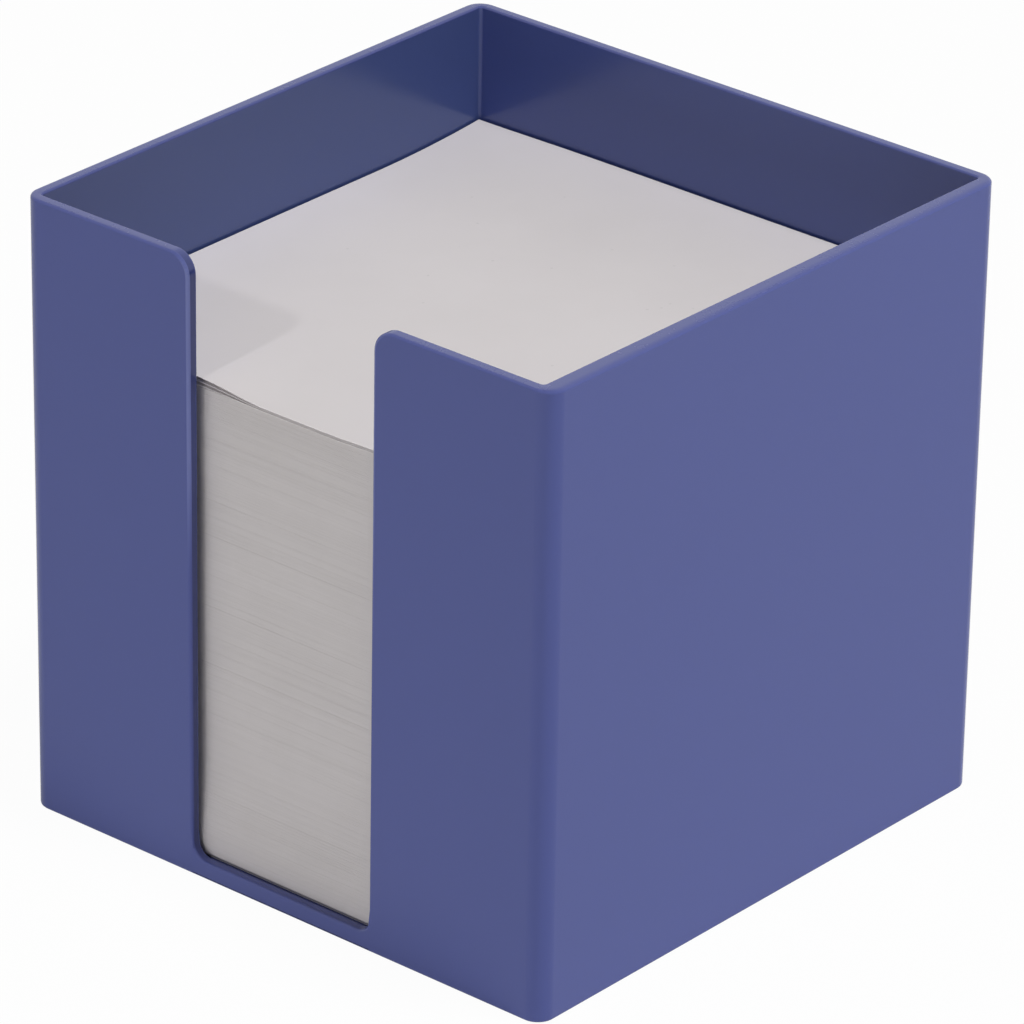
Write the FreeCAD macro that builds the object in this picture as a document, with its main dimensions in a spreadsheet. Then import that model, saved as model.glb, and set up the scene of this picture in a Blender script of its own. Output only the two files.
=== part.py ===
import FreeCAD, Part
import math
import os
import re

import Sketcher

# A moulded note box, open at the top, with a finger slot in its front wall and a fill of loose square sheets.
# Millimetres and degrees. The origin is under the middle of the box, the slot faces -Y and +Z is up.

SIZES = [
    ("paper_size", 90.0),
    ("paper_clearance", 0.95),
    ("sheet_thickness", 0.1),
    ("bundle_sheets", 50),
    ("bundle_count", 14),
    ("bowed_sheets", 40),
    ("loose_gap", 0.12),
    ("stack_shift", 0.1),
    ("front_droop", 1.1),
    ("droop_run", 27.0),
    ("back_curl", 1.1),
    ("curl_run", 23.0),
    ("box_height", 94.8),
    ("wall", 1.65),
    ("floor_thickness", 1.4),
    ("draft_angle", 0.12),
    ("outer_corner_radius", 2.85),
    ("inner_corner_radius", 0.55),
    ("floor_round", 0.4),
    ("outer_rim_round", 0.45),
    ("inner_rim_round", 0.35),
    ("base_round", 0.45),
    ("slot_width", 33.0),
    ("slot_draft", 0.15),
    ("sill_lip", 0.95),
    ("slot_foot_radius", 2.4),
    ("slot_mouth_radius", 3.3),
    ("foot_recess", 0.4),
    ("foot_width", 4.0),
    ("recess_corner_radius", 2.0),
    ("gate_dimple_diameter", 9.0),
    ("gate_dimple_depth", 0.4),
    ("gate_nib_diameter", 2.0),
    ("gate_nib_height", 0.3),
]

LOOSE_SHEETS = ["third_sheet", "second_sheet", "top_sheet"]

# Formulas that several pieces share
BASE_SIZE = "(paper_size + 2 * (paper_clearance + wall))"
WELL_SIZE = "(paper_size + 2 * paper_clearance)"
FLOOR_LEVEL = "(foot_recess + floor_thickness)"
BUNDLE_HEIGHT = "(bundle_sheets * sheet_thickness)"
BOWED_HEIGHT = "(bowed_sheets * sheet_thickness)"
STACK_TOP = f"({FLOOR_LEVEL} + bundle_count * {BUNDLE_HEIGHT} + {BOWED_HEIGHT})"

# Successive bundles are nudged round by this angle, so that no two edges line up exactly
NUDGE_ANGLE = 137.5

# A small fillet takes at most this share of the wall, lip or gap that it lies on
FILLET_SHARE = 0.48
TOLERANCE = 0.01

doc = FreeCAD.newDocument("note_box")
size = dict(SIZES)


def fill_spreadsheet():
    sheet = doc.addObject("Spreadsheet::Sheet", "dimensions")
    for row, (name, number) in enumerate(SIZES, start=1):
        sheet.set(f"A{row}", name)
        sheet.set(f"B{row}", str(number))
        sheet.setAlias(f"B{row}", name)
    doc.recompute()


def bind(target, prop, formula):
    names = re.sub(r"[a-z_]+", lambda word: cell(word.group()), formula)
    target.setExpression(prop, names)


def cell(word):
    return f"dimensions.{word}" if word in size else word


def new_body(label):
    body = doc.addObject("PartDesign::Body", label)
    body.Label = label
    return body


def new_sketch(body, name, role, offset="0"):
    sketch = body.newObject("Sketcher::SketchObject", name)
    plane = next(p for p in body.Origin.OriginFeatures if p.Role == role)
    sketch.AttachmentSupport = (plane, "")
    sketch.MapMode = "FlatFace"
    bind(sketch, "AttachmentOffset.Base.z", offset)
    return sketch


def new_feature(body, kind, name, sketch):
    feature = body.newObject(f"PartDesign::{kind}", name)
    feature.Profile = sketch
    sketch.Visibility = False
    return feature


def constrain(sketch, kind, elements, formula, start, name):
    index = sketch.addConstraint(Sketcher.Constraint(kind, *elements, start))
    sketch.renameConstraint(index, name)
    bind(sketch, f"Constraints.{name}", formula)


def join_ends(sketch, first, first_end, second, second_end):
    sketch.addConstraint(Sketcher.Constraint("Coincident", first, first_end, second, second_end))


def add_line(sketch, start, end):
    return sketch.addGeometry(Part.LineSegment(FreeCAD.Vector(*start, 0), FreeCAD.Vector(*end, 0)), False)


def draw_square(sketch, side_formula):
    half = size["paper_size"] / 2
    corners = [(-half, -half), (half, -half), (half, half), (-half, half)]
    sides = [add_line(sketch, corners[i], corners[(i + 1) % 4]) for i in range(4)]
    for i in range(4):
        join_ends(sketch, sides[i], 2, sides[(i + 1) % 4], 1)
        direction = "Horizontal" if i % 2 == 0 else "Vertical"
        sketch.addConstraint(Sketcher.Constraint(direction, sides[i]))
    sketch.addConstraint(Sketcher.Constraint("Symmetric", sides[0], 1, sides[2], 1, -1, 1))
    constrain(sketch, "DistanceX", (sides[0], 1, sides[0], 2), side_formula, 2 * half, "width")
    constrain(sketch, "DistanceY", (sides[1], 1, sides[1], 2), side_formula, 2 * half, "depth")


def draw_circle(sketch, diameter_formula, start):
    middle = FreeCAD.Vector(0, 0, 0)
    ring = sketch.addGeometry(Part.Circle(middle, FreeCAD.Vector(0, 0, 1), start / 2), False)
    join_ends(sketch, ring, 3, -1, 1)
    constrain(sketch, "Diameter", (ring,), diameter_formula, start, "diameter")


def round_edges(body, name, base, wanted, radius_formula):
    doc.recompute()
    edges = [f"Edge{i}" for i, edge in enumerate(base.Shape.Edges, start=1) if wanted(edge)]
    if not edges:
        raise RuntimeError(f"{name} found no edges")
    fillet = body.newObject("PartDesign::Fillet", name)
    fillet.Base = (base, edges)
    bind(fillet, "Radius", radius_formula)
    return fillet


def lean_walls(body, name, base, foot_level, half, reversed_pull):
    # The moulding draft: four upright walls lean out towards the rim, turning about their foot
    doc.recompute()
    walls = []
    foot = None
    for i, face in enumerate(base.Shape.Faces, start=1):
        box = face.BoundBox
        middle = face.CenterOfMass
        if box.ZLength < TOLERANCE:
            if abs(middle.z - foot_level) < TOLERANCE:
                foot = f"Face{i}"
        elif abs(max(abs(middle.x), abs(middle.y)) - half) < TOLERANCE:
            walls.append(f"Face{i}")
    draft = body.newObject("PartDesign::Draft", name)
    draft.Base = (base, walls)
    draft.NeutralPlane = (base, [foot])
    draft.Reversed = reversed_pull
    bind(draft, "Angle", "draft_angle")
    return draft


def rises(edge, length):
    box = edge.BoundBox
    return box.ZLength > length - TOLERANCE


def lies_at(edge, level):
    box = edge.BoundBox
    return abs(box.ZMin - level) < TOLERANCE and abs(box.ZMax - level) < TOLERANCE


def reach(edge):
    middle = edge.CenterOfMass
    return max(abs(middle.x), abs(middle.y))


def make_note_box():
    body = new_body("note_box")
    base_half = size["paper_size"] / 2 + size["paper_clearance"] + size["wall"]
    floor_level = size["foot_recess"] + size["floor_thickness"]
    sill_level = floor_level + size["sill_lip"]
    rim_level = size["box_height"]

    # The block that the walls are left from, wider at the rim by the moulding draft
    outline = new_sketch(body, "box_outline", "XY_Plane")
    draw_square(outline, BASE_SIZE)
    block = new_feature(body, "Pad", "box_block", outline)
    bind(block, "Length", "box_height")
    leaning_block = lean_walls(body, "outer_draft", block, 0, base_half, True)
    round_edges(
        body,
        "outer_corners",
        leaning_block,
        lambda edge: rises(edge, rim_level),
        "outer_corner_radius",
    )

    # The well for the sheets, cut upwards from the floor with the same draft
    well_outline = new_sketch(body, "well_outline", "XY_Plane", FLOOR_LEVEL)
    draw_square(well_outline, WELL_SIZE)
    well = new_feature(body, "Pocket", "well", well_outline)
    well.Reversed = True
    bind(well, "Length", f"box_height - {FLOOR_LEVEL}")
    well_half = base_half - size["wall"]
    leaning_well = lean_walls(body, "well_draft", well, floor_level, well_half, False)
    inner_reach = base_half - size["wall"] / 2
    well_corners = round_edges(
        body,
        "well_corners",
        leaning_well,
        lambda edge: rises(edge, rim_level - floor_level) and reach(edge) < inner_reach,
        "inner_corner_radius",
    )
    round_edges(
        body,
        "well_floor",
        well_corners,
        lambda edge: lies_at(edge, floor_level),
        f"min(floor_round; paper_clearance * {FILLET_SHARE}; sill_lip * {FILLET_SHARE})",
    )

    # The shallow recess underneath leaves a standing rim all round, with the gate mark in its middle
    recess_outline = new_sketch(body, "recess_outline", "XY_Plane")
    draw_square(recess_outline, f"{BASE_SIZE} - 2 * foot_width")
    recess = new_feature(body, "Pocket", "foot_recess", recess_outline)
    recess.Reversed = True
    bind(recess, "Length", "foot_recess")
    recess_half = base_half - size["foot_width"]
    round_edges(
        body,
        "recess_corners",
        recess,
        lambda edge: abs(edge.BoundBox.ZMax - size["foot_recess"]) < TOLERANCE
        and rises(edge, size["foot_recess"])
        and reach(edge) < recess_half + TOLERANCE,
        "recess_corner_radius",
    )
    dimple_outline = new_sketch(body, "dimple_outline", "XY_Plane", "foot_recess")
    draw_circle(dimple_outline, "gate_dimple_diameter", size["gate_dimple_diameter"])
    dimple = new_feature(body, "Pocket", "gate_dimple", dimple_outline)
    dimple.Reversed = True
    bind(dimple, "Length", "gate_dimple_depth")
    nib_outline = new_sketch(body, "nib_outline", "XY_Plane", "foot_recess + gate_dimple_depth")
    draw_circle(nib_outline, "gate_nib_diameter", size["gate_nib_diameter"])
    nib = new_feature(body, "Pad", "gate_nib", nib_outline)
    nib.Reversed = True
    bind(nib, "Length", "gate_nib_height")

    # The finger slot, open at the rim and a little wider there
    slot_outline = new_sketch(body, "slot_outline", "XZ_Plane", f"{BASE_SIZE} / 2 + wall")
    draw_slot(slot_outline, sill_level)
    slot = new_feature(body, "Pocket", "finger_slot", slot_outline)
    bind(slot, "Length", f"{BASE_SIZE} / 2 + wall")
    mouth_reach = size["slot_width"] / 2 + size["wall"] + size["slot_mouth_radius"]

    def crosses_front_wall(edge):
        box = edge.BoundBox
        return box.YLength > size["wall"] / 2 and box.XLength < TOLERANCE and reach_x(edge) < mouth_reach

    slot_foot = round_edges(
        body,
        "slot_foot",
        slot,
        lambda edge: crosses_front_wall(edge) and lies_at(edge, sill_level),
        "slot_foot_radius",
    )
    slot_mouth = round_edges(
        body,
        "slot_mouth",
        slot_foot,
        lambda edge: crosses_front_wall(edge) and lies_at(edge, rim_level),
        "slot_mouth_radius",
    )

    # A soft edge runs round the rim and down through the slot, rounder on the outside than on the inside
    def edges_slot(edge):
        box = edge.BoundBox
        on_front = box.YMax < -size["paper_size"] / 2 and box.YLength < size["wall"] / 2
        return on_front and reach_x(edge) < mouth_reach and box.ZMin > sill_level - TOLERANCE

    def edges_opening(edge):
        return lies_at(edge, rim_level) and not crosses_front_wall(edge) or edges_slot(edge)

    outer_rim = round_edges(
        body,
        "outer_rim",
        slot_mouth,
        lambda edge: edges_opening(edge) and far_reach(edge) > inner_reach,
        f"min(outer_rim_round; wall * {FILLET_SHARE})",
    )
    inner_rim = round_edges(
        body,
        "inner_rim",
        outer_rim,
        lambda edge: edges_opening(edge) and far_reach(edge) < inner_reach,
        f"min(inner_rim_round; wall * {FILLET_SHARE}; sill_lip * {FILLET_SHARE})",
    )
    round_edges(
        body,
        "base_edges",
        inner_rim,
        lambda edge: lies_at(edge, 0) and reach(edge) > recess_half + size["foot_width"] / 2,
        f"min(base_round; foot_width * {FILLET_SHARE})",
    )
    return body


def reach_x(edge):
    return abs(edge.CenterOfMass.x)


def far_reach(edge):
    box = edge.BoundBox
    return max(-box.XMin, box.XMax, -box.YMin, box.YMax)


def draw_slot(sketch, sill_level):
    half = size["slot_width"] / 2
    top_level = size["box_height"] + size["wall"]
    top_half = half + (top_level - sill_level) * math.tan(math.radians(size["slot_draft"]))
    points = [(-half, sill_level), (half, sill_level), (top_half, top_level), (-top_half, top_level)]
    sill, right, top, left = [add_line(sketch, points[i], points[(i + 1) % 4]) for i in range(4)]
    for first, second in [(sill, right), (right, top), (top, left), (left, sill)]:
        join_ends(sketch, first, 2, second, 1)
    sketch.addConstraint(Sketcher.Constraint("Symmetric", sill, 1, sill, 2, -2))
    sketch.addConstraint(Sketcher.Constraint("Symmetric", top, 1, top, 2, -2))
    constrain(sketch, "DistanceX", (sill, 1, sill, 2), "slot_width", 2 * half, "width")
    constrain(sketch, "DistanceY", (-1, 1, sill, 1), f"{FLOOR_LEVEL} + sill_lip", sill_level, "sill_level")
    constrain(sketch, "DistanceY", (-1, 1, top, 1), "box_height + wall", top_level, "top_level")
    rise = f"(box_height + wall - {FLOOR_LEVEL} - sill_lip)"
    constrain(
        sketch,
        "DistanceX",
        (top, 2, top, 1),
        f"slot_width + 2 * {rise} * tan(slot_draft * 1 deg)",
        2 * top_half,
        "top_width",
    )


def nudge(index):
    angle = math.radians(NUDGE_ANGLE * index)
    return f"stack_shift * {math.cos(angle):.3f}", f"stack_shift * {math.sin(angle):.3f}"


def place_paper(body, index, level_formula):
    shift_x, shift_y = nudge(index)
    bind(body, "Placement.Base.x", shift_x)
    bind(body, "Placement.Base.y", shift_y)
    bind(body, "Placement.Base.z", level_formula)


def make_flat_bundle(index):
    body = new_body(f"paper_bundle_{index + 1:02d}")
    outline = new_sketch(body, f"bundle_outline_{index + 1:02d}", "XY_Plane")
    draw_square(outline, "paper_size")
    block = new_feature(body, "Pad", f"bundle_block_{index + 1:02d}", outline)
    bind(block, "Length", BUNDLE_HEIGHT)
    place_paper(body, index, f"{FLOOR_LEVEL} + {index} * {BUNDLE_HEIGHT}")
    return body


def add_arc(sketch, middle, radius, start, end):
    circle = Part.Circle(FreeCAD.Vector(*middle, 0), FreeCAD.Vector(0, 0, 1), radius)
    return sketch.addGeometry(Part.ArcOfCircle(circle, start, end), False)


def draw_bowed_edge(sketch, level, level_formula, name):
    # From the drooped front, along the flat middle, to the curled back
    front = -size["paper_size"] / 2
    flat_from = front + size["droop_run"]
    flat_to = -front - size["curl_run"]
    droop_radius = bend_radius(size["droop_run"], size["front_droop"])
    curl_radius = bend_radius(size["curl_run"], size["back_curl"])
    up = math.pi / 2
    droop_end = up + math.asin(size["droop_run"] / droop_radius)
    curl_end = -up + math.asin(size["curl_run"] / curl_radius)
    droop = add_arc(sketch, (flat_from, level - droop_radius), droop_radius, up, droop_end)
    flat = add_line(sketch, (flat_from, level), (flat_to, level))
    curl = add_arc(sketch, (flat_to, level + curl_radius), curl_radius, -up, curl_end)
    sketch.addConstraint(Sketcher.Constraint("Tangent", flat, 1, droop, 1))
    sketch.addConstraint(Sketcher.Constraint("Tangent", flat, 2, curl, 1))
    sketch.addConstraint(Sketcher.Constraint("Horizontal", flat))
    constrain(sketch, "DistanceX", (flat, 1, -1, 1), "paper_size / 2 - droop_run", -flat_from, f"{name}_from")
    constrain(sketch, "DistanceX", (-1, 1, flat, 2), "paper_size / 2 - curl_run", flat_to, f"{name}_to")
    constrain(sketch, "DistanceX", (droop, 2, -1, 1), "paper_size / 2", -front, f"{name}_front")
    constrain(sketch, "DistanceX", (-1, 1, curl, 2), "paper_size / 2", -front, f"{name}_back")
    constrain(sketch, "DistanceY", (droop, 2, flat, 1), "front_droop", size["front_droop"], f"{name}_droop")
    constrain(sketch, "DistanceY", (flat, 2, curl, 2), "back_curl", size["back_curl"], f"{name}_curl")
    if level_formula is None:
        sketch.addConstraint(Sketcher.Constraint("PointOnObject", flat, 1, -1))
    else:
        constrain(sketch, "DistanceY", (-1, 1, flat, 1), level_formula, level, f"{name}_level")
    return droop, curl


def bend_radius(run, rise):
    return (run * run + rise * rise) / (2 * rise)


def close_profile(sketch, lower, upper, half):
    # The cut ends of the sheets, front and back
    for lower_part, lower_end, upper_part, side in zip(lower[::2], lower[1::2], upper, (-half, half)):
        end = add_line(sketch, (side, 0), (side, 1))
        join_ends(sketch, lower_part, lower_end, end, 1)
        join_ends(sketch, end, 2, upper_part, 2)


def pad_across(body, name, sketch):
    block = new_feature(body, "Pad", name, sketch)
    block.SideType = "Symmetric"
    bind(block, "Length", "paper_size")


def make_bowed_bundle(index):
    body = new_body("bowed_bundle")
    profile = new_sketch(body, "bowed_profile", "YZ_Plane")
    half = size["paper_size"] / 2
    bottom = add_line(profile, (-half, 0), (half, 0))
    profile.addConstraint(Sketcher.Constraint("Symmetric", bottom, 1, bottom, 2, -1, 1))
    profile.addConstraint(Sketcher.Constraint("Horizontal", bottom))
    height = size["bowed_sheets"] * size["sheet_thickness"]
    upper = draw_bowed_edge(profile, height, BOWED_HEIGHT, "top")
    close_profile(profile, (bottom, 1, bottom, 2), upper, half)
    pad_across(body, "bowed_block", profile)
    place_paper(body, index, f"{FLOOR_LEVEL} + bundle_count * {BUNDLE_HEIGHT}")
    return body


def make_loose_sheet(label, order, index):
    body = new_body(label)
    profile = new_sketch(body, f"{label}_profile", "YZ_Plane")
    lower = draw_bowed_edge(profile, 0, None, "under")
    upper = draw_bowed_edge(profile, size["sheet_thickness"], "sheet_thickness", "top")
    close_profile(profile, (lower[0], 2, lower[1], 2), upper, size["paper_size"] / 2)
    pad_across(body, f"{label}_block", profile)
    lift = f"{order + 1} * loose_gap + {order} * sheet_thickness"
    place_paper(body, index, f"{STACK_TOP} + {lift}")
    return body


def make_all():
    fill_spreadsheet()
    parts = [make_note_box()]
    bundle_count = size["bundle_count"]
    for index in range(bundle_count):
        parts.append(make_flat_bundle(index))
    parts.append(make_bowed_bundle(bundle_count))
    for order, label in enumerate(LOOSE_SHEETS):
        parts.append(make_loose_sheet(label, order, bundle_count + 1 + order))
    doc.recompute()
    return parts


def check_document(parts):
    for item in doc.Objects:
        if "Invalid" in item.State or "Error" in item.State:
            raise RuntimeError(f"{item.Label} failed: {item.State}")
    for part in parts:
        if part.Shape.isNull() or not part.Shape.isValid():
            raise RuntimeError(f"{part.Label} has no valid shape")
        if len(part.Shape.Solids) != 1:
            raise RuntimeError(f"{part.Label} has {len(part.Shape.Solids)} solids")


def write_parts(parts):
    os.makedirs("parts", exist_ok=True)
    for part in parts:
        part.Shape.exportStep(os.path.join("parts", f"{part.Label}.step"))
        box = part.Shape.BoundBox
        print(part.Label, f"{part.Shape.Volume:.1f} mm3, z {box.ZMin:.2f} to {box.ZMax:.2f}")


parts = make_all()
check_document(parts)
write_parts(parts)
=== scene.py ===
import math
import random

import bmesh
import bpy
from mathutils import Matrix, Vector


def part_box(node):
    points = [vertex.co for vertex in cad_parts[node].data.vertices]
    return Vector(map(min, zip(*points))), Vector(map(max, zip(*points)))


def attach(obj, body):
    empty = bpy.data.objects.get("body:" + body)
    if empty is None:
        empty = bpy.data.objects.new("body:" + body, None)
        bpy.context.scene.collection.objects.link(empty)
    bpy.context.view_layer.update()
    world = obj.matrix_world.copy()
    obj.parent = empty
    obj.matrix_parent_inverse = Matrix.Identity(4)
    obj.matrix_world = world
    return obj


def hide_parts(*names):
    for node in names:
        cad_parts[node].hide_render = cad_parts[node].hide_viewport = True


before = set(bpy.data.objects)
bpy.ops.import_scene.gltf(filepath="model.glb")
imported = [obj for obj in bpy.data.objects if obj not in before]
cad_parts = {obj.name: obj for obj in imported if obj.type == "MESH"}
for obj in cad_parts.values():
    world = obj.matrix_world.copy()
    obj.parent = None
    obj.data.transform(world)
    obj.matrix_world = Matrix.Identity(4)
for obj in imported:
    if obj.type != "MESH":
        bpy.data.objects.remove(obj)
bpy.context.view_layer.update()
mm = 0.001


# Helpers for nodes and pieces

def addNode(tree, kind, **settings):
    made = tree.nodes.new(kind)
    for name, value in settings.items():
        setattr(made, name, value)
    return made


def setInputs(made, **values):
    for name, value in values.items():
        made.inputs[name].default_value = value
    return made


def newGroup(name, inputs, outputs):
    group = bpy.data.node_groups.new(name, "ShaderNodeTree")
    for label, kind, value in inputs:
        socket = group.interface.new_socket(label, in_out="INPUT", socket_type=kind)
        socket.default_value = value
    for label, kind in outputs:
        group.interface.new_socket(label, in_out="OUTPUT", socket_type=kind)
    return group, addNode(group, "NodeGroupInput"), addNode(group, "NodeGroupOutput")


def useGroup(tree, group, **values):
    return setInputs(addNode(tree, "ShaderNodeGroup", node_tree=group), **values)


def newMaterial(name):
    material = bpy.data.materials.new(name)
    material.use_nodes = True
    tree = material.node_tree
    return material, tree, tree.nodes["Principled BSDF"]


def feed(tree, socket, value):
    # a link from another socket, or a plain value
    if isinstance(value, bpy.types.NodeSocket):
        tree.links.new(value, socket)
    else:
        socket.default_value = value


def compute(tree, operation, first, second):
    made = addNode(tree, "ShaderNodeMath", operation=operation)
    for socket, value in zip(made.inputs, (first, second)):
        feed(tree, socket, value)
    return made.outputs[0]


colorSockets = {"share": 0, "first": 6, "second": 7, "result": 2}  # of a Mix node set to colors


def mixColor(tree, share, first, second):
    made = addNode(tree, "ShaderNodeMix", data_type="RGBA")
    for name, value in (("share", share), ("first", first), ("second", second)):
        feed(tree, made.inputs[colorSockets[name]], value)
    return made.outputs[colorSockets["result"]]


def mixShaders(tree, share, first, second):
    made = addNode(tree, "ShaderNodeMixShader")
    for socket, value in zip(made.inputs, (share, first.outputs[0], second.outputs[0])):
        feed(tree, socket, value)
    return made.outputs[0]


def readAttribute(tree, name):
    return addNode(tree, "ShaderNodeAttribute", attribute_name=name).outputs["Fac"]


def addBump(tree, height, settings):
    made = setInputs(addNode(tree, "ShaderNodeBump"), **settings)
    tree.links.new(height, made.inputs["Height"])
    return made


def addObject(name, data):
    made = bpy.data.objects.new(name, data)
    bpy.context.scene.collection.objects.link(made)
    return made


def addMesh(name, bm, material):
    mesh = bpy.data.meshes.new(name)
    bm.to_mesh(mesh)
    bm.free()
    mesh.materials.append(material)
    return addObject(name, mesh)


def finishPiece(name, bm, material, body, nodes):
    piece = addMesh(name, bm, material)
    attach(piece, body)
    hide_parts(*nodes)
    return piece


# Shared shader effects

def makeToneGroup():
    # slow uneven tone, as in any moulded or rolled sheet, around 0
    group, start, end = newGroup(
        "unevenTone",
        [("Scale", "NodeSocketFloat", 30.0), ("Amount", "NodeSocketFloat", 0.1)],
        [("Tone", "NodeSocketFloat")],
    )
    place = addNode(group, "ShaderNodeTexCoord")
    cloud = setInputs(addNode(group, "ShaderNodeTexNoise"), Detail=4.0, Roughness=0.55)
    group.links.new(place.outputs["Object"], cloud.inputs["Vector"])
    group.links.new(start.outputs["Scale"], cloud.inputs["Scale"])
    centred = compute(group, "SUBTRACT", cloud.outputs["Fac"], 0.5)
    group.links.new(compute(group, "MULTIPLY", centred, start.outputs["Amount"]), end.inputs["Tone"])
    return group


def makeFleckGroup():
    # a few small flecks: dust on plastic, fibres in paper
    group, start, end = newGroup(
        "fineFlecks",
        [
            ("Scale", "NodeSocketFloat", 250.0),
            ("Size", "NodeSocketFloat", 0.12),
            ("Share", "NodeSocketFloat", 0.04),
        ],
        [("Mask", "NodeSocketFloat")],
    )
    place = addNode(group, "ShaderNodeTexCoord")
    cells = addNode(group, "ShaderNodeTexVoronoi")
    group.links.new(place.outputs["Object"], cells.inputs["Vector"])
    group.links.new(start.outputs["Scale"], cells.inputs["Scale"])
    near = compute(group, "LESS_THAN", cells.outputs["Distance"], start.outputs["Size"])
    pick = addNode(group, "ShaderNodeSeparateColor")
    group.links.new(cells.outputs["Color"], pick.inputs["Color"])
    chosen = compute(group, "LESS_THAN", pick.outputs["Red"], start.outputs["Share"])
    group.links.new(compute(group, "MULTIPLY", near, chosen), end.inputs["Mask"])
    return group


def makeGrainGroup():
    # fine grain as a height
    group, start, end = newGroup(
        "fineGrain",
        [("Scale", "NodeSocketFloat", 2000.0), ("Stretch", "NodeSocketVector", (1.0, 1.0, 1.0))],
        [("Height", "NodeSocketFloat")],
    )
    place = addNode(group, "ShaderNodeTexCoord")
    stretch = addNode(group, "ShaderNodeVectorMath", operation="MULTIPLY")
    grain = setInputs(addNode(group, "ShaderNodeTexNoise"), Detail=3.0, Roughness=0.6)
    group.links.new(place.outputs["Object"], stretch.inputs[0])
    group.links.new(start.outputs["Stretch"], stretch.inputs[1])
    group.links.new(stretch.outputs["Vector"], grain.inputs["Vector"])
    group.links.new(start.outputs["Scale"], grain.inputs["Scale"])
    group.links.new(grain.outputs["Fac"], end.inputs["Height"])
    return group


toneGroup = makeToneGroup()
fleckGroup = makeFleckGroup()
grainGroup = makeGrainGroup()
print("shader groups ready")


# Blue moulded plastic

plasticFinish = {
    "color": (0.066, 0.0873, 0.305, 1.0),
    "rimWearAndHighlightColor": (0.076, 0.093, 0.306, 1.0),  # rubbed rim, a little paler: wear, with a painted highlight on its top
    "slotHighlightColor": (0.145, 0.172, 0.42, 1.0),  # painted highlight on the slot's outer round
    "dustColor": (0.45, 0.46, 0.52, 1.0),
    "innerShadeColor": (0.13, 0.28, 0.07, 1.0),  # painted shade: the inner walls duller and less blue
    "innerShadeShare": 0.08,
    "slotSideShadeColor": (0.041, 0.053, 0.187, 1.0),  # painted shade on the sides of the slot
    "slotHighlightLevels": {"From Min": 45.0 * mm, "From Max": 68.0 * mm},  # the painted highlight fades in between these levels
    "roughness": 0.21,
    "ior": 1.5,
    "tone": {"Scale": 28.0, "Amount": 0.1},
    "toneMiddle": 0.12,
    "darkShare": 0.86,  # the darker tone against the color
    "wornAndLitNoise": {"Scale": 420.0, "Amount": 1.6},
    "wornAndLitMiddle": 0.6,
    "rubRoughness": 0.1,
    "flecks": {"Scale": 130.0, "Size": 0.035, "Share": 0.05},
    "grain": {"Scale": 1500.0},
    "grainBump": {"Strength": 0.04, "Distance": 0.01 * mm},
    "wave": {"Scale": 26.0},
    "waveBump": {"Strength": 0.3, "Distance": 0.02 * mm},
}


def makePlastic():
    finish = plasticFinish
    material, tree, shader = newMaterial("bluePlastic")
    tone = useGroup(tree, toneGroup, **finish["tone"])
    wornAndLitNoise = useGroup(tree, toneGroup, **finish["wornAndLitNoise"])
    dust = useGroup(tree, fleckGroup, **finish["flecks"])
    grain = useGroup(tree, grainGroup, **finish["grain"])
    wave = useGroup(tree, grainGroup, **finish["wave"])
    edge = readAttribute(tree, "rimWearAndHighlight")
    paintedSlotHighlight = readAttribute(tree, "paintedSlotHighlight")
    paintedSlotShade = readAttribute(tree, "paintedSlotShade")
    inner = readAttribute(tree, "paintedInnerShade")
    place = addNode(tree, "ShaderNodeTexCoord")
    split = addNode(tree, "ShaderNodeSeparateXYZ")
    tree.links.new(place.outputs["Object"], split.inputs["Vector"])
    # the painted highlight on the slot fades out towards the bottom
    highlightFade = addNode(tree, "ShaderNodeMapRange", interpolation_type="SMOOTHSTEP")
    setInputs(highlightFade, **finish["slotHighlightLevels"])
    tree.links.new(split.outputs["Z"], highlightFade.inputs["Value"])

    darker = tuple(finish["darkShare"] * c for c in finish["color"][:3]) + (1.0,)
    toneShare = compute(tree, "ADD", tone.outputs["Tone"], finish["toneMiddle"])
    base = mixColor(tree, toneShare, finish["color"], darker)
    # wear and a painted highlight on the rim, broken up by noise
    wornAndLitNoiseShare = compute(tree, "ADD", wornAndLitNoise.outputs["Tone"], finish["wornAndLitMiddle"])
    wornAndLit = compute(tree, "MULTIPLY", edge, wornAndLitNoiseShare)
    # painted shade on the inner walls
    innerShaded = compute(tree, "MULTIPLY", inner, finish["innerShadeShare"])
    base = mixColor(tree, innerShaded, base, finish["innerShadeColor"])
    # painted shade on the sides of the slot
    base = mixColor(tree, paintedSlotShade, base, finish["slotSideShadeColor"])
    # painted highlight on the slot's outer round
    slotHighlightShare = compute(tree, "MULTIPLY", paintedSlotHighlight, highlightFade.outputs["Result"])
    highlighted = mixColor(tree, slotHighlightShare, base, finish["slotHighlightColor"])
    wornAndLitBase = mixColor(tree, wornAndLit, highlighted, finish["rimWearAndHighlightColor"])
    dusty = mixColor(tree, dust.outputs["Mask"], wornAndLitBase, finish["dustColor"])
    tree.links.new(dusty, shader.inputs["Base Color"])

    gloss = compute(tree, "ADD", tone.outputs["Tone"], finish["roughness"])
    gloss = compute(tree, "ADD", gloss, compute(tree, "MULTIPLY", wornAndLit, finish["rubRoughness"]))
    tree.links.new(gloss, shader.inputs["Roughness"])

    fine = addBump(tree, grain.outputs["Height"], finish["grainBump"])
    slow = addBump(tree, wave.outputs["Height"], finish["waveBump"])
    tree.links.new(fine.outputs["Normal"], slow.inputs["Normal"])
    tree.links.new(slow.outputs["Normal"], shader.inputs["Normal"])
    setInputs(shader, IOR=finish["ior"])
    return material


# Plain white note paper

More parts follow.
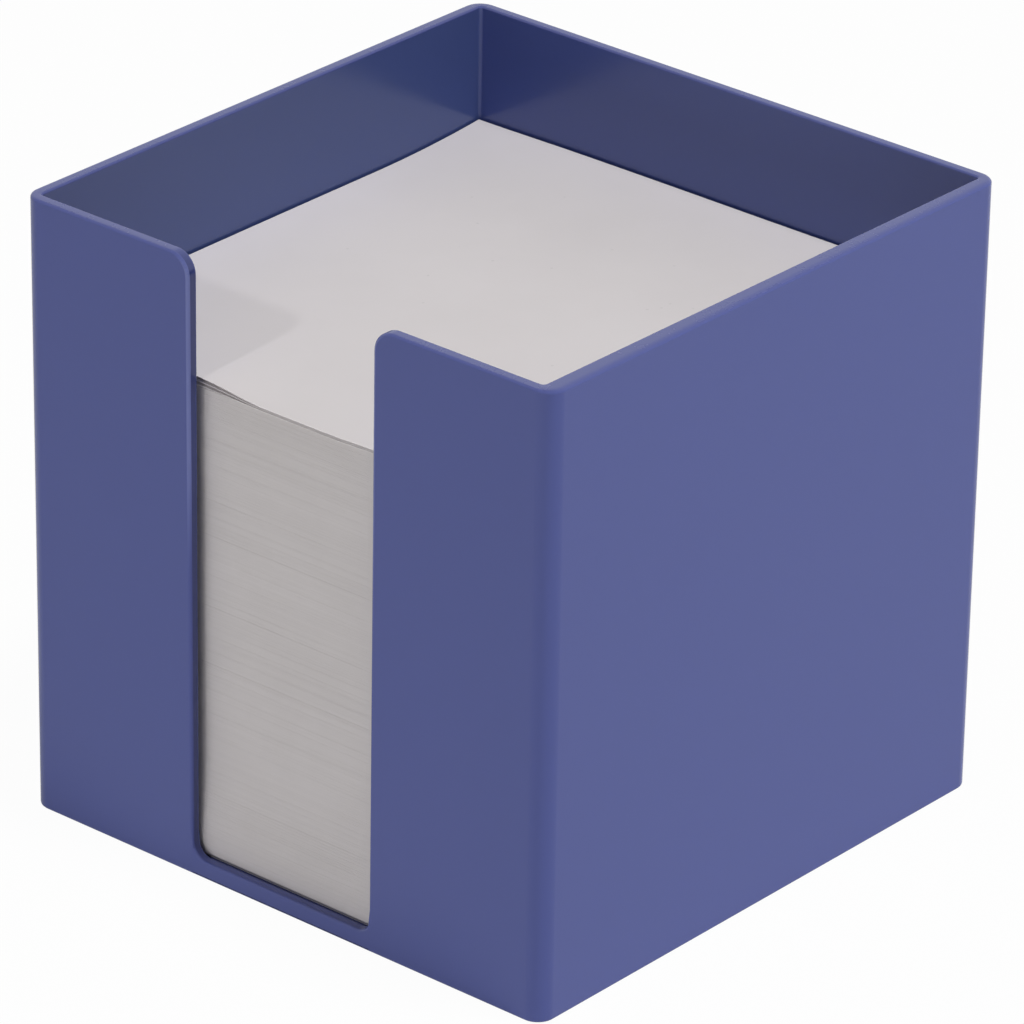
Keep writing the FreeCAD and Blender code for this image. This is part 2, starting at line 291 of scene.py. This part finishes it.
paperFinish = {
    "color": (0.82, 0.778, 0.778, 1.0),
    "shade": (0.6, 0.568, 0.562, 1.0),  # towards this where the tone is high
    "fleckColor": (0.62, 0.6, 0.58, 1.0),
    "fleckShare": 0.35,
    "roughness": 0.85,
    "sheen": {"Specular IOR Level": 0.25},
    "tone": {"Scale": 45.0, "Amount": 0.3},
    "toneMiddle": 0.1,
    "flecks": {"Scale": 900.0, "Size": 0.2, "Share": 0.02},
    "fibres": {"Scale": 2600.0, "Stretch": (1.0, 0.45, 1.0)},
    "fibreBump": {"Strength": 0.25, "Distance": 0.02 * mm},
}


def makePaper():
    finish = paperFinish
    material, tree, shader = newMaterial("notePaper")
    tone = useGroup(tree, toneGroup, **finish["tone"])
    flecks = useGroup(tree, fleckGroup, **finish["flecks"])
    fibres = useGroup(tree, grainGroup, **finish["fibres"])
    # sheetTone holds random tone, the cut edges' grey with painted shade, and the painted shade on the top
    # sheets
    sheetTone = readAttribute(tree, "sheetTone")

    share = compute(tree, "ADD", tone.outputs["Tone"], sheetTone)
    share = compute(tree, "ADD", share, finish["toneMiddle"])
    base = mixColor(tree, share, finish["color"], finish["shade"])
    fleckShare = compute(tree, "MULTIPLY", flecks.outputs["Mask"], finish["fleckShare"])
    flecked = mixColor(tree, fleckShare, base, finish["fleckColor"])
    tree.links.new(flecked, shader.inputs["Base Color"])
    rough = compute(tree, "ADD", tone.outputs["Tone"], finish["roughness"])
    tree.links.new(rough, shader.inputs["Roughness"])
    bump = addBump(tree, fibres.outputs["Height"], finish["fibreBump"])
    tree.links.new(bump.outputs["Normal"], shader.inputs["Normal"])
    setInputs(shader, **finish["sheen"])
    return material


bluePlastic = makePlastic()
notePaper = makePaper()
print("materials ready")


# The moulded box

boxShape = {
    "wall": 1.65 * mm,
    "draft": 0.12,  # degrees, the walls lean out towards the rim
    "cornerRadius": 2.85 * mm,  # upright corners, outside
    "innerCorner": 0.55 * mm,
    "cornerSteps": 12,
    "floorTop": 1.8 * mm,
    "floorRound": 0.4 * mm,
    "outerRound": 0.45 * mm,  # rim and slot, outside
    "innerRound": 0.35 * mm,  # rim and slot, inside
    "rightRound": 2.2,  # the right rim's outer round is this many times as wide
    "thickRight": (1.3 * mm, 0.75 * mm),  # the right wall is this much thicker at the rim, front and back
    "thickFront": 0.2 * mm,
    "thickLeft": 0.2 * mm,
    "rimSteps": 5,
    "baseRound": 0.45 * mm,
    "baseSteps": 3,  # under the box, and where the walls meet its floor
    "slotWidth": 33.0 * mm,
    "slotDraft": 0.15,  # degrees, the slot widens towards the rim
    "sillTop": 2.75 * mm,
    "footRadius": 2.4 * mm,
    "footSteps": 8,
    "mouthRadius": 3.3 * mm,
    "mouthSteps": 10,
    "standWidth": 4.0 * mm,
    "recess": 0.4 * mm,
    "recessRadius": 2.0 * mm,
    "recessSteps": 6,
    "dimpleRadius": 4.5 * mm,
    "dimple": 0.4 * mm,
    "nibRadius": 1.0 * mm,
    "nib": 0.3 * mm,
    "roundSteps": 40,  # dimple and nib
    "sharp": 60.0,  # degrees, the steps under the box stay crisp
    "flatWeight": 100,  # how strongly the large faces set the shading
    "near": 0.05 * mm,  # points closer than this are the same place
    "upright": 0.1,  # a face is upright when its normal rises less
    "level": 0.99,  # and level when it rises more
    "backWallShade": 0.5,  # the painted shade on the back wall, against the side walls
}


def bevelAll(bm, geom, offset, steps, affect="EDGES"):
    return bmesh.ops.bevel(
        bm,
        geom=geom,
        offset=offset,
        offset_type="OFFSET",
        segments=steps,
        profile=0.5,
        affect=affect,
        material=-1,
        loop_slide=True,
        clamp_overlap=False,
    )


def withEdges(faces):
    edges = dict.fromkeys(e for f in faces for e in f.edges)  # each once, in a fixed order
    verts = dict.fromkeys(v for f in faces for v in f.verts)
    return [*faces, *edges, *verts]


def drawBlock(bm, rimHalf, baseHalf, height):
    shape = boxShape
    bmesh.ops.create_cube(bm, size=1.0)
    bmesh.ops.scale(bm, vec=(2 * baseHalf, 2 * baseHalf, height), verts=bm.verts)
    bmesh.ops.translate(bm, vec=(0, 0, height / 2), verts=bm.verts)
    top = [v for v in bm.verts if v.co.z > height / 2]
    bmesh.ops.scale(bm, vec=(rimHalf / baseHalf, rimHalf / baseHalf, 1), verts=top)
    upright = [e for e in bm.edges if abs(e.verts[0].co.z - e.verts[1].co.z) > height / 2]
    bevelAll(bm, upright, shape["cornerRadius"], shape["cornerSteps"])


def rimGrowth(place, wellHalf):
    # how far the rim stands in over the well, as the walls are thicker there
    shape = boxShape
    reach = wellHalf - shape["cornerRadius"]
    front, back = shape["thickRight"]
    grow = Vector((0, 0, 0))
    if place.x > reach:
        grow.x = -front - (back - front) * (place.y / wellHalf + 1) / 2
    if place.x < -reach:
        grow.x = shape["thickLeft"]
    if place.y < -reach:
        grow.y = shape["thickFront"]
    return grow


def sinkWell(bm, rimHalf, height, lean):
    shape = boxShape
    rim = max(bm.faces, key=lambda f: f.calc_center_median().z)
    bmesh.ops.inset_region(bm, faces=[rim], thickness=shape["wall"], use_even_offset=True)
    wellHalf = rimHalf - shape["wall"]
    wide = shape["cornerRadius"] - shape["wall"]  # the inset corner, drawn in to the tighter one
    tight = shape["innerCorner"]
    rimVerts = list(rim.verts)
    for v in rimVerts:
        for axis in (0, 1):
            side = math.copysign(1, v.co[axis])
            past = side * v.co[axis] - (wellHalf - wide)
            if past > 0:
                v.co[axis] = side * (wellHalf - tight + past * tight / wide)
    floor = bmesh.ops.extrude_discrete_faces(bm, faces=[rim])["faces"][0]
    depth = height - shape["floorTop"]
    narrow = (wellHalf - depth * lean) / wellHalf
    bmesh.ops.translate(bm, vec=(0, 0, -depth), verts=floor.verts)
    bmesh.ops.scale(bm, vec=(narrow, narrow, 1), verts=floor.verts)
    for v in rimVerts:
        v.co += rimGrowth(v.co, wellHalf)


def cutSlot(bm, wellHalf, height):
    shape = boxShape
    half = shape["slotWidth"] / 2
    sill = shape["sillTop"]
    slant = math.radians(shape["slotDraft"])
    topHalf = half + (height - sill) * math.tan(slant)

    def frontFaces():
        reach = wellHalf - shape["wall"]
        return [f for f in bm.faces if all(v.co.y < -reach for v in f.verts) and len(f.verts) >= 4]

    def facesWithin(across):
        return [f for f in frontFaces() if abs(f.calc_center_median().x) < across]

    for side in (-1, 1):
        bmesh.ops.bisect_plane(
            bm,
            geom=withEdges(facesWithin(wellHalf / 2)),
            plane_co=(side * half, 0, sill),
            plane_no=(math.cos(slant), 0, -side * math.sin(slant)),
        )
    walls = [f for f in facesWithin(half) if abs(f.normal.z) < shape["upright"]]
    bmesh.ops.bisect_plane(bm, geom=withEdges(walls), plane_co=(0, 0, sill), plane_no=(0, 0, 1))
    gone = [f for f in facesWithin(half) if f.calc_center_median().z > sill]
    bmesh.ops.delete(bm, geom=gone, context="FACES")

    def crossesWall(e):
        return abs(e.verts[0].co.y - e.verts[1].co.y) > shape["wall"] / 2

    outline = [e for e in bm.edges if e.is_boundary and not crossesWall(e)]
    bmesh.ops.bridge_loops(bm, edges=outline)

    def corners(level, reach):
        near = shape["near"]

        def isThere(v):
            return abs(v.co.z - level) < near and abs(abs(v.co.x) - reach) < near

        return [e for e in bm.edges if crossesWall(e) and all(isThere(v) for v in e.verts)]

    bevelAll(bm, corners(sill, half), shape["footRadius"], shape["footSteps"])
    bevelAll(bm, corners(height, topHalf), shape["mouthRadius"], shape["mouthSteps"])


def widenRight(verts, rimHalf):
    # draws the outer round of the right rim further in
    shape = boxShape
    radius = shape["cornerRadius"]
    core = rimHalf - radius
    for v in verts:
        near = Vector((min(max(v.co.x, -core), core), min(max(v.co.y, -core), core)))
        out = v.co.xy - near
        inside = radius - out.length
        facing = out.normalized()
        share = max(facing.x, 0.0) ** 2 * (shape["rightRound"] - 1)
        v.co.xy -= facing * inside * share


def softenRim(bm, wellHalf, height):
    shape = boxShape
    reach = shape["slotWidth"] / 2 + shape["mouthRadius"] + shape["wall"]
    bm.normal_update()

    def onRim(f):
        return f.normal.z > shape["level"] and all(v.co.z > height - shape["near"] for v in f.verts)

    def inSlot(f):
        inFront = all(v.co.y < -wellHalf + shape["wall"] and abs(v.co.x) < reach for v in f.verts)
        aboveFoot = all(v.co.z > shape["sillTop"] / 2 for v in f.verts)
        return inFront and aboveFoot and abs(f.normal.y) < shape["upright"]

    strip = {f for f in bm.faces if onRim(f) or inSlot(f)}
    edges = [e for e in bm.edges if sum(f in strip for f in e.link_faces) == 1]
    border = wellHalf + shape["wall"] / 4

    def isOuter(e):
        return all(max(abs(v.co.x), abs(v.co.y)) > border for v in e.verts)

    outer = [e for e in edges if isOuter(e)]
    inner = [e for e in edges if not isOuter(e)]
    wornAndLit = bm.faces.layers.float["rimWearAndHighlight"]
    slotHighlightLayer = bm.faces.layers.float["paintedSlotHighlight"]
    side = bm.faces.layers.float["paintedSlotShade"]
    for f in strip:
        # the flat rim: wear with a painted highlight
        f[wornAndLit] = 1.0 if onRim(f) else 0.0
        # painted shade on the sides of the slot, by how far they face sideways
        f[side] = abs(f.normal.x)
    for chain, offset in ((outer, shape["outerRound"]), (inner, shape["innerRound"])):
        made = bevelAll(bm, chain, offset, shape["rimSteps"])
        bm.normal_update()
        for f in made["faces"]:
            middle = f.calc_center_median()
            if middle.z > height / 2:
                # wear and painted highlight on the rim's rounds, strongest where they face up
                f[wornAndLit] = max(f.normal.z, 0.0)
            # the rounds get no painted shade
            f[side] = 0.0
            # painted highlight on the slot's outer round, strongest where it faces sideways
            if chain is outer and abs(middle.x) < reach:
                f[slotHighlightLayer] = 1.0 - f.normal.z ** 2 / (f.normal.x ** 2 + f.normal.z ** 2)
        if chain is outer:
            upper = [v for f in made["faces"] for v in f.verts if v.co.z > height - offset / 2]
            widenRight(set(upper), wellHalf + shape["wall"])


def ringFill(bm, face, hole):
    edges = list(face.edges) + list(hole.edges)
    bmesh.ops.delete(bm, geom=[face], context="FACES_ONLY")
    bmesh.ops.triangle_fill(bm, edges=edges, use_beauty=True, use_dissolve=False)


def shapeUnderside(bm, baseHalf):
    shape = boxShape
    under = min(bm.faces, key=lambda f: f.calc_center_median().z)
    bevelAll(bm, list(under.edges), shape["baseRound"], shape["baseSteps"])
    facingDown = [f for f in bm.faces if f.normal.z < -shape["level"]]
    under = min(facingDown, key=lambda f: f.calc_center_median().z)
    known = set(bm.faces)
    recessHalf = baseHalf - shape["standWidth"]
    grid = bmesh.ops.create_grid(bm, x_segments=1, y_segments=1, size=recessHalf)
    bevelAll(bm, grid["verts"], shape["recessRadius"], shape["recessSteps"], affect="VERTICES")
    recess = max((f for f in bm.faces if f not in known), key=lambda f: f.calc_area())
    ringFill(bm, under, recess)
    steps = [
        (shape["recess"], shape["dimpleRadius"]),
        (shape["dimple"], shape["nibRadius"]),
        (-shape["nib"], None),
    ]
    level = 0.0
    face = recess
    for rise, nextRadius in steps:
        face = bmesh.ops.extrude_discrete_faces(bm, faces=[face])["faces"][0]
        bmesh.ops.translate(bm, vec=(0, 0, rise), verts=face.verts)
        level += rise
        if nextRadius:
            ring = bmesh.ops.create_circle(
                bm,
                cap_ends=True,
                segments=shape["roundSteps"],
                radius=nextRadius,
                matrix=Matrix.Translation((0, 0, level)),
            )
            hole = ring["verts"][0].link_faces[0]
            ringFill(bm, face, hole)
            face = hole


def buildBox():
    shape = boxShape
    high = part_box("note_box")[1]
    height = high.z
    rimHalf = high.x
    lean = math.tan(math.radians(shape["draft"]))
    baseHalf = rimHalf - height * lean
    wellHalf = rimHalf - shape["wall"]
    bm = bmesh.new()
    bm.faces.layers.float.new("rimWearAndHighlight")  # how far the rim is worn and given a painted highlight
    bm.faces.layers.float.new("paintedSlotHighlight")  # painted highlight on the outer round along the slot
    bm.faces.layers.float.new("paintedSlotShade")  # painted shade on the sides of the slot
    paintedInnerShade = bm.faces.layers.float.new("paintedInnerShade")  # painted shade on the inner walls
    drawBlock(bm, rimHalf, baseHalf, height)
    sinkWell(bm, rimHalf, height, lean)
    cutSlot(bm, wellHalf, height)
    softenRim(bm, wellHalf, height)

    def onFloor(v):
        return abs(v.co.z - shape["floorTop"]) < shape["near"]

    floorEdges = [e for e in bm.edges if all(onFloor(v) for v in e.verts)]
    bevelAll(bm, floorEdges, shape["floorRound"], shape["baseSteps"])
    shapeUnderside(bm, baseHalf)
    bmesh.ops.recalc_face_normals(bm, faces=bm.faces)
    gaps = sum(not e.is_manifold for e in bm.edges)
    print("box faces", len(bm.faces), "open edges", gaps)
    for f in bm.faces:
        f.smooth = True
        middle = f.calc_center_median()
        inWell = max(abs(middle.x), abs(middle.y)) < wellHalf and middle.z > shape["sillTop"]
        # painted shade on the inner walls, the side walls more than the back and front walls
        if inWell and abs(f.normal.z) < shape["upright"]:
            f[paintedInnerShade] = max(abs(f.normal.x), shape["backWallShade"])
    bm.normal_update()
    for e in bm.edges:
        e.smooth = e.calc_face_angle() < math.radians(shape["sharp"])
    piece = finishPiece("box_shell", bm, bluePlastic, "note_box", ["note_box"])
    flat = piece.modifiers.new("flatWalls", "WEIGHTED_NORMAL")
    flat.mode = "FACE_AREA"
    flat.weight = shape["flatWeight"]
    flat.keep_sharp = True
    return piece


buildBox()
print("box ready")


# Loose note paper: flat bundles, the bowed sheets above them and three loose ones

paperPile = {
    "sheets": 50,  # in each flat bundle
    "setBack": 0.5 * mm,  # the whole pile lies nearer to the back wall
    "setLeft": 0.3 * mm,  # and to the left one
    "fill": 1.0,  # how much of the pitch a sheet takes
    "drift": 0.005 * mm,  # how far the pile wanders from sheet to sheet
    "driftKept": 0.98,  # and how much of that it keeps
    "jitter": 0.003 * mm,  # how far single sheets stand out of it
    "proud": 0.025 * mm,  # how far a few stand out more
    "proudShare": 0.008,
    "twist": 0.008,  # degrees
    "cutEdgeGreyAndShade": 0.7,  # the cut edges are greyer than the top: their own grey, with painted shade between the sheet edges
    "bandTone": 0.008,  # slow light and dark bands
    "bandKept": 0.9,
    "sheetTone": 0.022,
    "topSheetShade": (-0.09, 0.24),  # painted shade on the top sheets: lighter at the front, darker at the back
    "footSheets": 9,  # these lie back, and those above them lie further forward
    "slip": 0.75 * mm,
    "slipLevels": (3.0 * mm, 18.0 * mm),
    "seed": 12,
}

sheetBend = {
    "half": 45.0 * mm,
    "droop": 1.1 * mm,  # front edge, pressed down
    "droopRun": 27.0 * mm,
    "curl": 1.1 * mm,  # back edge, curled up
    "curlRun": 23.0 * mm,
    "dip": 0.62 * mm,  # thumbed down behind the slot
    "dipRun": (24.0 * mm, 45.0 * mm),
    "dipHalf": (6.0 * mm, 17.0 * mm),  # here it loses the next share
    "dipShare": 0.45,
    "dipEnd": (20.0 * mm, 34.0 * mm),  # and here the rest
    "sagLeft": 0.36 * mm,  # the left and back edges hang a little
    "sagLeftRun": (25.0 * mm, 45.0 * mm),
    "sagBack": 0.2 * mm,
    "sagBackRun": (22.0 * mm, 45.0 * mm),
    "thickness": 0.1 * mm,
    "flat": 0.5,  # a face is the upper or lower side when its normal rises more
    "bowedSheets": 40,
    "bowedCells": 18,
    "looseCells": 32,
    "forward": 0.32 * mm,  # the loose sheets stand this far out at the front
    "aside": 0.5 * mm,  # and lie nearer to the left and back walls
    "spread": 0.45 * mm,
    "fanAcross": (5.0 * mm, 17.0 * mm),  # their front left corners fan out
    "fanRun": (28.0 * mm, 45.0 * mm),
    "wave": 0.03 * mm,
    "waveAcross": 9.0 * mm,
    "waveRun": 14.0 * mm,
    "wavePhase": 1.0,
}

looseSheets = {
    "third_sheet": {"lift": 0.18 * mm, "shift": 0.05 * mm, "turn": 0.02},
    "second_sheet": {"lift": 0.56 * mm, "shift": -0.06 * mm, "turn": -0.03},
    "top_sheet": {"lift": 0.98 * mm, "shift": 0.0, "turn": 0.05},
}


def arcRise(step, rise, run):
    radius = (run * run + rise * rise) / (2 * rise)
    return radius - math.sqrt(radius * radius - step * step)


def easeIn(value, start, end):
    share = min(max((value - start) / (end - start), 0.0), 1.0)
    return share * share * (3 - 2 * share)


def pileBend(x, y):
    # how far the top of the pile leaves the flat at this place
    bend = sheetBend
    front = max(0.0, bend["droopRun"] - bend["half"] - y)
    back = max(0.0, y - bend["half"] + bend["curlRun"])
    rise = arcRise(back, bend["curl"], bend["curlRun"]) - arcRise(front, bend["droop"], bend["droopRun"])
    across = (1 - bend["dipShare"] * easeIn(x, *bend["dipHalf"])) * (1 - easeIn(x, *bend["dipEnd"]))
    dip = bend["dip"] * across * easeIn(-y, *bend["dipRun"])
    left = easeIn(-x, *bend["sagLeftRun"])
    sag = bend["sagLeft"] * left + bend["sagBack"] * easeIn(y, *bend["sagBackRun"]) * (1 - left)
    return rise - dip - sag


def addSlab(bm, cells, half):
    # a thin flat slab of cells x cells, its upper side at 0
    bmesh.ops.create_grid(bm, x_segments=cells, y_segments=cells, size=half)
    bmesh.ops.solidify(bm, geom=bm.faces[:], thickness=sheetBend["thickness"])


def shadeSheets(bm):
    bm.normal_update()
    for f in bm.faces:
        f.smooth = abs(f.normal.z) > sheetBend["flat"]
    for e in bm.edges:
        e.smooth = all(f.smooth for f in e.link_faces)  # the cut edges stay crisp


def buildBundles(nodes):
    pile = paperPile
    rng = random.Random(pile["seed"])
    wander = Vector((0, 0))
    band = 0.0

    def scatter(size):
        return Vector((rng.gauss(0, size), rng.gauss(0, size)))

    for node in nodes:
        low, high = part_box(node)
        pitch = (high.z - low.z) / pile["sheets"]
        bm = bmesh.new()
        tone = bm.verts.layers.float.new("sheetTone")
        for k in range(pile["sheets"]):
            wander = wander * pile["driftKept"] + scatter(pile["drift"])
            band = band * pile["bandKept"] + rng.gauss(0, pile["bandTone"])
            place = wander + scatter(pile["jitter"])
            if rng.random() < pile["proudShare"]:
                place.y -= pile["proud"]
            level = low.z + (k + 0.5) * pitch
            slip = pile["slip"] * (1 - easeIn(level, *pile["slipLevels"]))
            if node == nodes[0] and k < pile["footSheets"]:
                slip = 0.0
            middle = place + Vector((-pile["setLeft"], pile["setBack"] - slip))
            seat = Matrix.Translation((middle.x, middle.y, level))
            turn = Matrix.Rotation(math.radians(rng.gauss(0, pile["twist"])), 4, "Z")
            size = Matrix.Diagonal((high.x - low.x, high.y - low.y, pitch * pile["fill"], 1))
            made = bmesh.ops.create_cube(bm, size=1.0, matrix=seat @ turn @ size)
            # the cut edges' grey with painted shade, plus random bands and sheets
            sheetTone = pile["cutEdgeGreyAndShade"] + band + rng.gauss(0, pile["sheetTone"])
            for v in made["verts"]:
                v[tone] = sheetTone
        number = node.rsplit("_", 1)[1]
        finishPiece("sheets_" + number, bm, notePaper, "paper_stack", [node])


def buildBowedSheets(node):
    pile = paperPile
    bend = sheetBend
    rng = random.Random(pile["seed"] + 1)
    low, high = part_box(node)
    count = bend["bowedSheets"]
    pitch = (high.z - low.z - bend["curl"]) / count
    bm = bmesh.new()
    tone = bm.verts.layers.float.new("sheetTone")
    addSlab(bm, bend["bowedCells"], bend["half"])
    slab = bm.verts[:] + bm.edges[:] + bm.faces[:]
    for k in range(count):
        made = bmesh.ops.duplicate(bm, geom=slab)["geom"]
        jitter = [rng.gauss(0, 2 * pile["jitter"]) for axis in (0, 1)]
        shift = Vector((jitter[0] - pile["setLeft"], jitter[1] + pile["setBack"], 0))
        # the cut edges' grey with painted shade, plus random tone
        sheetTone = pile["cutEdgeGreyAndShade"] + rng.gauss(0, pile["sheetTone"])
        for v in made:
            if isinstance(v, bmesh.types.BMVert):
                level = k + pile["fill"] if v.co.z > -bend["thickness"] / 2 else k
                v.co.z = low.z + level * pitch + pileBend(v.co.x, v.co.y) * level / count
                v.co += shift
                v[tone] = sheetTone
    bmesh.ops.delete(bm, geom=slab, context="VERTS")
    shadeSheets(bm)
    finishPiece("bowed_sheets", bm, notePaper, "paper_stack", [node])


def buildLooseSheet(node, place):
    bend = sheetBend
    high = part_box(node)[1]
    upper = high.z - bend["curl"]  # where the sheet lies flat
    bm = bmesh.new()
    tone = bm.verts.layers.float.new("sheetTone")
    addSlab(bm, bend["looseCells"], bend["half"])
    for v in bm.verts:
        x, y = v.co.x, v.co.y
        # painted shade: the top sheets darker towards the back
        front, back = paperPile["topSheetShade"]
        v[tone] = front + (back - front) * easeIn(y, 0.0, bend["half"])
        fan = easeIn(-x, *bend["fanAcross"]) * easeIn(-y, *bend["fanRun"])
        along = math.sin(y / bend["waveRun"] + bend["wavePhase"])
        wave = bend["wave"] * math.sin(x / bend["waveAcross"]) * along
        v.co.z += upper + pileBend(x, y) + place["lift"] * fan + wave
        v.co.y += bend["spread"] * easeIn(y, 0.0, bend["half"])
    turn = Matrix.Rotation(math.radians(place["turn"]), 3, "Z")
    bmesh.ops.rotate(bm, cent=(0, 0, 0), matrix=turn, verts=bm.verts)
    ahead = bend["forward"] - paperPile["setBack"]
    bmesh.ops.translate(bm, vec=(place["shift"] - bend["aside"], -ahead, 0), verts=bm.verts)
    shadeSheets(bm)
    finishPiece("loose_" + node, bm, notePaper, node, [node])


buildBundles(sorted(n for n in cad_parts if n.startswith("paper_bundle_")))
buildBowedSheets("bowed_bundle")
for node, place in looseSheets.items():
    buildLooseSheet(node, place)
print("paper ready")


# Floor, light and camera

surroundings = {
    "floorHalf": 6.0,
    "floorDrop": 0.05 * mm,  # just under the box
    "floorPaint": {"Base Color": (0.8, 0.8, 0.8, 1.0), "Roughness": 0.9},
    "floorWhite": 0.97,  # how far the floor is seen as plain white
    "floorMirrored": 0.5,  # and how far in reflections
    "worldColor": (1.0, 1.0, 1.0, 1.0),
    "worldLight": 0.12,
}


def buildStage():
    look = surroundings
    bm = bmesh.new()
    bmesh.ops.create_grid(bm, x_segments=1, y_segments=1, size=look["floorHalf"])
    bmesh.ops.translate(bm, vec=(0, 0, -look["floorDrop"]), verts=bm.verts)
    material, tree, shader = newMaterial("paleFloor")
    setInputs(shader, **look["floorPaint"])
    white = setInputs(addNode(tree, "ShaderNodeEmission"), Strength=1.0)
    rays = addNode(tree, "ShaderNodeLightPath").outputs
    direct = compute(tree, "MULTIPLY", rays["Is Camera Ray"], look["floorWhite"])
    mirrored = compute(tree, "MAXIMUM", rays["Is Glossy Ray"], rays["Is Transmission Ray"])
    share = compute(tree, "MAXIMUM", direct, compute(tree, "MULTIPLY", mirrored, look["floorMirrored"]))
    mixed = mixShaders(tree, share, shader, white)
    tree.links.new(mixed, tree.nodes["Material Output"].inputs["Surface"])
    floor = addMesh("floor", bm, material)


def buildWorld():
    look = surroundings
    world = bpy.data.worlds.new("studio")
    bpy.context.scene.world = world
    world.use_nodes = True
    tree = world.node_tree
    light = setInputs(tree.nodes["Background"], Color=look["worldColor"], Strength=look["worldLight"])
    white = setInputs(addNode(tree, "ShaderNodeBackground"), Color=look["worldColor"], Strength=1.0)
    rays = addNode(tree, "ShaderNodeLightPath").outputs
    seen = compute(tree, "MAXIMUM", rays["Is Camera Ray"], rays["Is Transmission Ray"])
    seen = compute(tree, "MAXIMUM", seen, rays["Is Glossy Ray"])
    mixed = mixShaders(tree, seen, light, white)
    tree.links.new(mixed, tree.nodes["World Output"].inputs["Surface"])


studioLights = {
    "overhead": {"azimuth": 96.0, "elevation": 72.5, "distance": 1.0, "size": (0.15, 0.15), "power": 5.8},
    "rightSide": {"azimuth": 118.0, "elevation": 0.0, "distance": 1.0, "size": (0.12, 0.12), "power": 3.95},
    "front": {"azimuth": 1.0, "elevation": 37.5, "distance": 1.0, "size": (0.05, 0.05), "power": 1.0},
    "frontLow": {"azimuth": 1.0, "elevation": -5.0, "distance": 0.35, "size": (0.3, 0.03), "power": 0.262},
}


def aimAt(obj, place, target):
    obj.location = place
    obj.rotation_mode = "QUATERNION"
    obj.rotation_quaternion = (target - place).to_track_quat("-Z", "Y")


def around(target, azimuth, elevation, distance):
    turn, rise = math.radians(azimuth), math.radians(elevation)
    away = Vector((math.sin(turn) * math.cos(rise), -math.cos(turn) * math.cos(rise), math.sin(rise)))
    return target + away * distance


def buildLights():
    target = Vector((0, 0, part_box("note_box")[1].z / 2))
    for name, light in studioLights.items():
        lamp = bpy.data.lights.new(name, "AREA")
        lamp.shape = "RECTANGLE"
        lamp.size, lamp.size_y = light["size"]
        lamp.energy = light["power"]
        obj = addObject(name, lamp)
        obj.visible_glossy = False  # gloss shows the white surroundings, not the lamps
        aimAt(obj, around(target, light["azimuth"], light["elevation"], light["distance"]), target)


photoView = {
    "azimuth": 40.342,
    "elevation": 26.117,
    "roll": 0.938,
    "distance": 1080.5 * mm,
    "aim": (1.07 * mm, -0.37 * mm, 45.28 * mm),
    "lens": 270.41,
    "sensor": 36.0,
    "clip": (0.05, 50.0),
}


def buildCamera():
    shot = photoView
    data = bpy.data.cameras.new("camera")
    data.lens = shot["lens"]
    data.sensor_width = shot["sensor"]
    data.clip_start, data.clip_end = shot["clip"]
    camera = addObject("camera", data)
    aim = Vector(shot["aim"])
    place = around(aim, shot["azimuth"], shot["elevation"], shot["distance"])
    aimAt(camera, place, aim)
    turn = Matrix.Rotation(math.radians(shot["roll"]), 3, "Z").to_quaternion()
    camera.rotation_quaternion = camera.rotation_quaternion @ turn
    bpy.context.scene.camera = camera


buildStage()
buildWorld()
buildLights()
buildCamera()
bpy.context.scene.view_settings.view_transform = "Standard"
print("stage ready")
